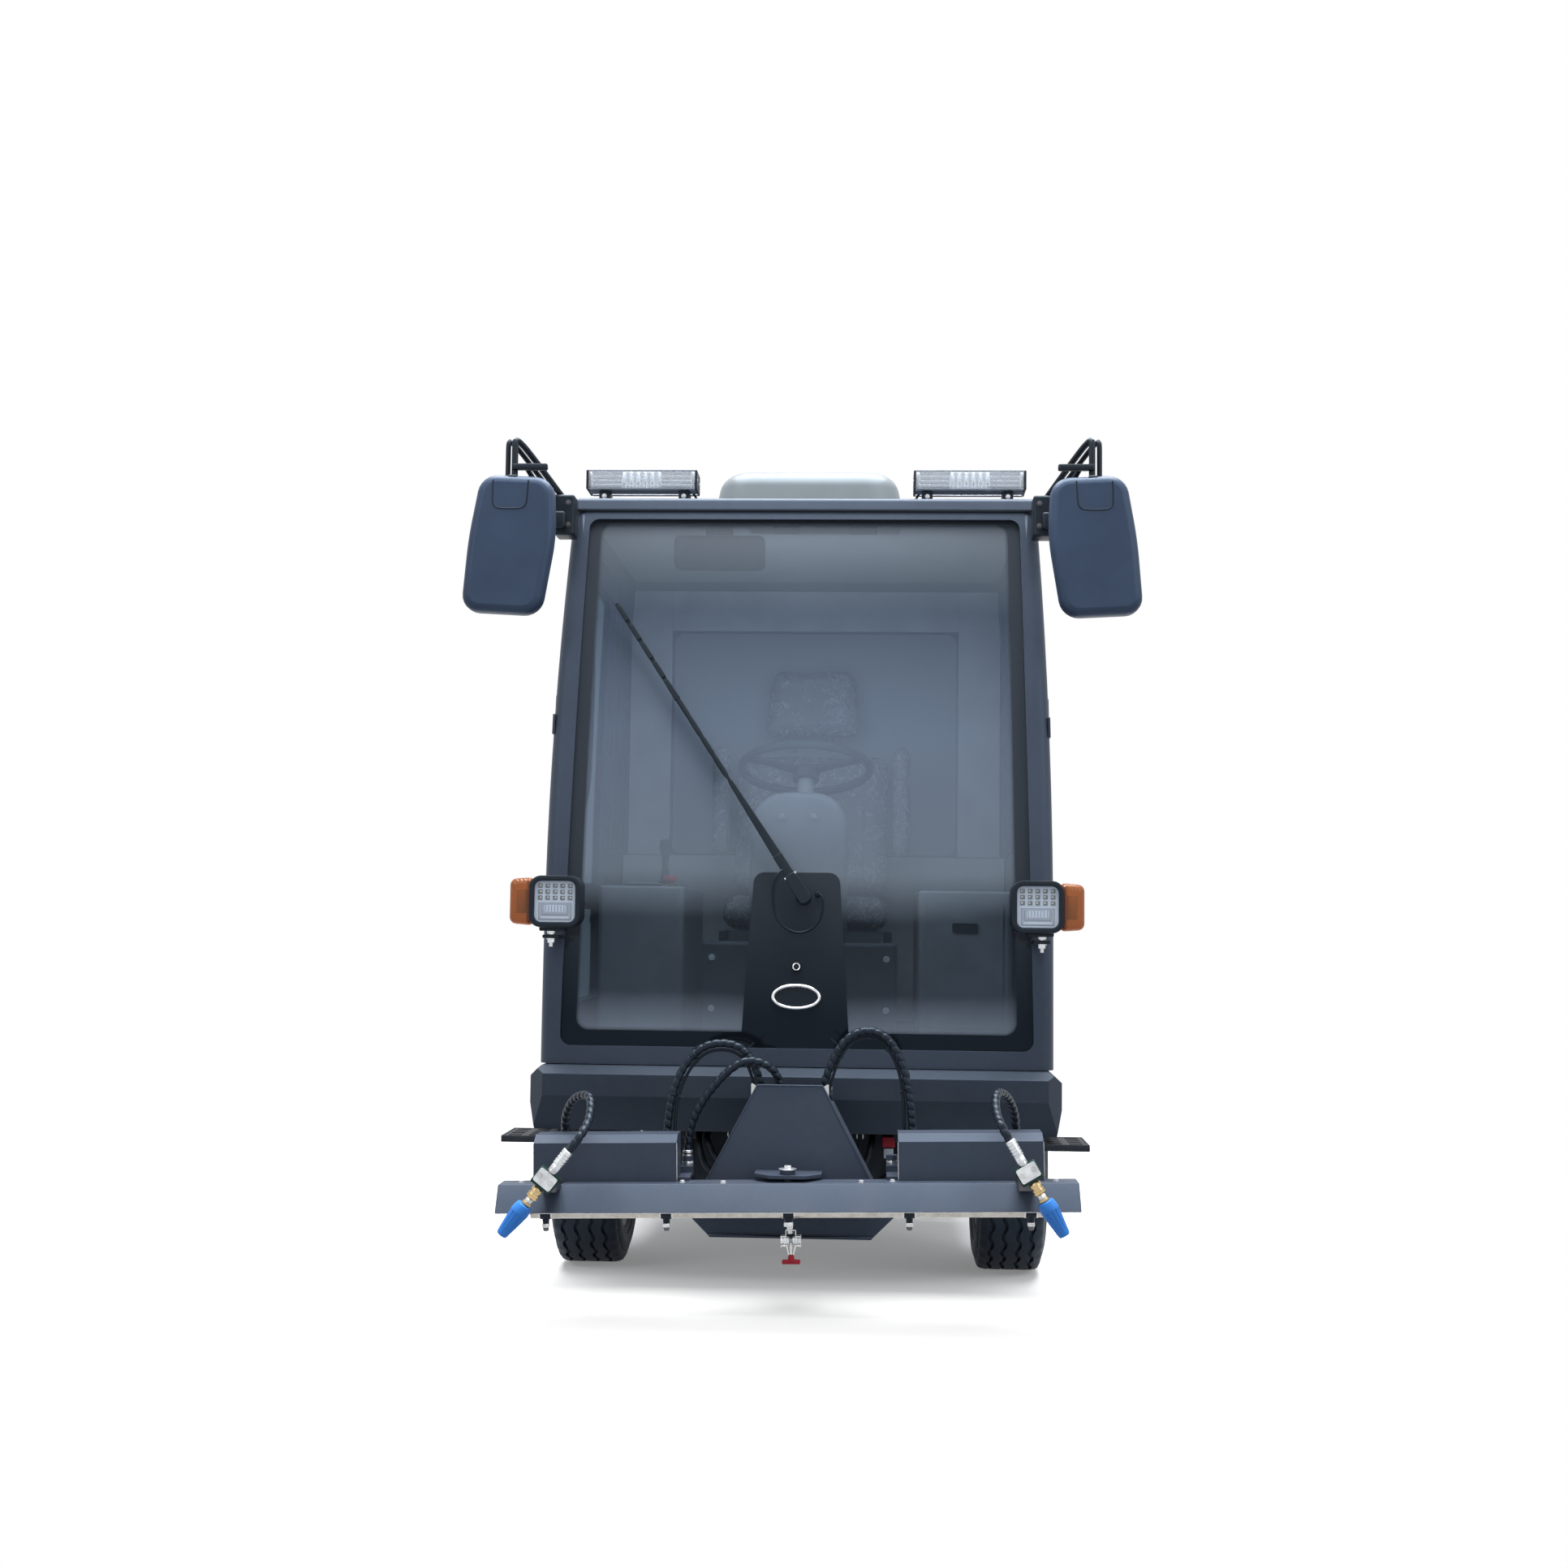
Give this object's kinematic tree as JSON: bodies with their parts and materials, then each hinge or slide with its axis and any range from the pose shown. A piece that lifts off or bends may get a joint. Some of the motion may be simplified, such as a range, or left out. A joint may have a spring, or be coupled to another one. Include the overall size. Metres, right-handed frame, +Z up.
{
  "type": "compact street washing vehicle",
  "caption": "One-seat street washing vehicle: glazed cab, washing body with water tank and hose reel, and a front spray bar that lifts and swings.",
  "frame": {"origin": "on the ground at the middle of the vehicle's length and width", "axes": "+Z up, front of the vehicle towards -Y, width along X"},
  "size_m": [1.684, 3.97, 2.1553],
  "materials": {
    "body_paint": "satin charcoal blue-grey paint",
    "chassis_black": "semi-gloss black paint",
    "screen_glass": "tinted safety glass",
    "dark_plastic": "grained black plastic",
    "clear_lens": "clear lens over lamps",
    "red_lens": "clear red lens",
    "seat_cover": "black seat cloth",
    "tank_plastic": "moulded polyethylene",
    "rubber": "black rubber",
    "tyre_rubber": "tyre rubber",
    "wheel_paint": "silver wheel paint",
    "zinc": "bright zinc and stainless steel",
    "blue_plastic": "blue moulded plastic"
  },
  "bodies": {
    "vehicle": {"axles": "chassis_black", "battery_block": "dark_plastic", "body_deck": "body_paint", "body_shell": "body_paint", "cab_consoles": "dark_plastic", "cab_frame": "body_paint", "cab_mounts": "rubber", "cab_rear_glass": "screen_glass", "cab_roof": "body_paint", "cab_steps": "chassis_black", "chassis_rails": "chassis_black", "cross_members": "chassis_black", "dashboard": "dark_plastic", "front_bumper": "body_paint", "head_lamps": "dark_plastic", "leaf_springs": "chassis_black", "light_bars": "clear_lens", "mirrors": "dark_plastic", "pump_bay": "chassis_black", "rear_bumper": "body_paint", "rear_mudguards": "dark_plastic", "roof_air_conditioner": "dark_plastic", "seat_frame": "dark_plastic", "seat_pads": "seat_cover", "spray_mast": "body_paint", "tail_lamps": "red_lens", "water_tank": "tank_plastic", "windscreen": "screen_glass"},
    "steering": {"steering_wheel": "dark_plastic"},
    "knuckle_l": {"knuckle_left": "chassis_black"},
    "knuckle_r": {"knuckle_right": "chassis_black"},
    "wheel_fl": {"tyre_front_left": "tyre_rubber", "rim_front_left": "wheel_paint"},
    "wheel_fr": {"tyre_front_right": "tyre_rubber", "rim_front_right": "wheel_paint"},
    "wheel_rl": {"tyre_rear_left": "tyre_rubber", "rim_rear_left": "wheel_paint"},
    "wheel_rr": {"tyre_rear_right": "tyre_rubber", "rim_rear_right": "wheel_paint"},
    "cab_door_l": {"door_left": "body_paint", "door_glass_left": "screen_glass"},
    "cab_door_r": {"door_right": "body_paint", "door_glass_right": "screen_glass"},
    "wiper_set": {"wiper": "dark_plastic"},
    "locker_l": {"locker_door_left": "body_paint"},
    "locker_r": {"locker_door_right": "body_paint"},
    "tailgate": {"rear_door": "body_paint"},
    "lid": {"tank_lid": "body_paint"},
    "reel": {"hose_reel": "chassis_black", "reel_hose": "rubber"},
    "lift": {"spray_carriage": "body_paint", "lift_hoses": "rubber"},
    "bar": {"spray_bar": "body_paint", "bar_covers": "body_paint", "spray_pipe": "zinc", "nozzle_clamps": "zinc", "turbo_nozzles": "blue_plastic", "side_hoses": "rubber"}
  },
  "joints": [
    {"name": "steer_left", "type": "hinge", "parent": "vehicle", "child": "knuckle_l", "pos_m": [-0.443, -1, 0.275], "axis": [0, 0, 1], "range_deg": [-28, 28]},
    {"name": "steer_right", "type": "hinge", "parent": "vehicle", "child": "knuckle_r", "pos_m": [0.443, -1, 0.275], "axis": [0, 0, 1], "range_deg": [-28, 28]},
    {"name": "steering_turn", "type": "hinge", "parent": "vehicle", "child": "steering", "pos_m": [0, -0.95, 1.33], "axis": [0, 0.3007, 0.9537], "range_deg": [-400, 400]},
    {"name": "wheel_front_left", "type": "hinge", "parent": "knuckle_l", "child": "wheel_fl", "pos_m": [-0.548, -1, 0.275], "axis": [1, 0, 0], "continuous": true},
    {"name": "wheel_front_right", "type": "hinge", "parent": "knuckle_r", "child": "wheel_fr", "pos_m": [0.548, -1, 0.275], "axis": [1, 0, 0], "continuous": true},
    {"name": "wheel_rear_left", "type": "hinge", "parent": "vehicle", "child": "wheel_rl", "pos_m": [-0.548, 1, 0.275], "axis": [1, 0, 0], "continuous": true},
    {"name": "wheel_rear_right", "type": "hinge", "parent": "vehicle", "child": "wheel_rr", "pos_m": [0.548, 1, 0.275], "axis": [1, 0, 0], "continuous": true},
    {"name": "cab_door_left", "type": "hinge", "parent": "vehicle", "child": "cab_door_l", "pos_m": [-0.648, -1.352, 1], "axis": [0, 0, 1], "range_deg": [0, 70]},
    {"name": "cab_door_right", "type": "hinge", "parent": "vehicle", "child": "cab_door_r", "pos_m": [0.648, -1.352, 1], "axis": [0, 0, -1], "range_deg": [0, 70]},
    {"name": "wiper_sweep", "type": "hinge", "parent": "vehicle", "child": "wiper_set", "pos_m": [0.015, -1.44253, 0.974], "axis": [0, 0.9976, -0.0693], "range_deg": [0, 68]},
    {"name": "locker_left", "type": "hinge", "parent": "vehicle", "child": "locker_l", "pos_m": [-0.6465, 0.55, 1.424], "axis": [0, 1, 0], "range_deg": [0, 85]},
    {"name": "locker_right", "type": "hinge", "parent": "vehicle", "child": "locker_r", "pos_m": [0.6465, 0.55, 1.424], "axis": [0, -1, 0], "range_deg": [0, 85]},
    {"name": "rear_door_lift", "type": "hinge", "parent": "vehicle", "child": "tailgate", "pos_m": [0, 1.9065, 1.504], "axis": [1, 0, 0], "range_deg": [0, 85]},
    {"name": "tank_lid_lift", "type": "hinge", "parent": "vehicle", "child": "lid", "pos_m": [0, 0.452, 1.6823], "axis": [1, 0, 0], "range_deg": [-95, 0]},
    {"name": "reel_turn", "type": "hinge", "parent": "vehicle", "child": "reel", "pos_m": [0, 1.56, 1.07], "axis": [1, 0, 0], "continuous": true},
    {"name": "spray_lift", "type": "slide", "parent": "vehicle", "child": "lift", "axis": [0, 0, 1], "range_m": [-0.04, 0.12]},
    {"name": "bar_swing", "type": "hinge", "parent": "lift", "child": "bar", "pos_m": [0, -1.835, 0.33], "axis": [0, 0, 1], "range_deg": [-10, 10], "deforming": ["lift_hoses"]}
  ],
  "couplings": [
    {"joint": "steer_right", "follows": "steer_left", "ratio": 1},
    {"joint": "steering_turn", "follows": "steer_left", "ratio": 14}
  ]
}
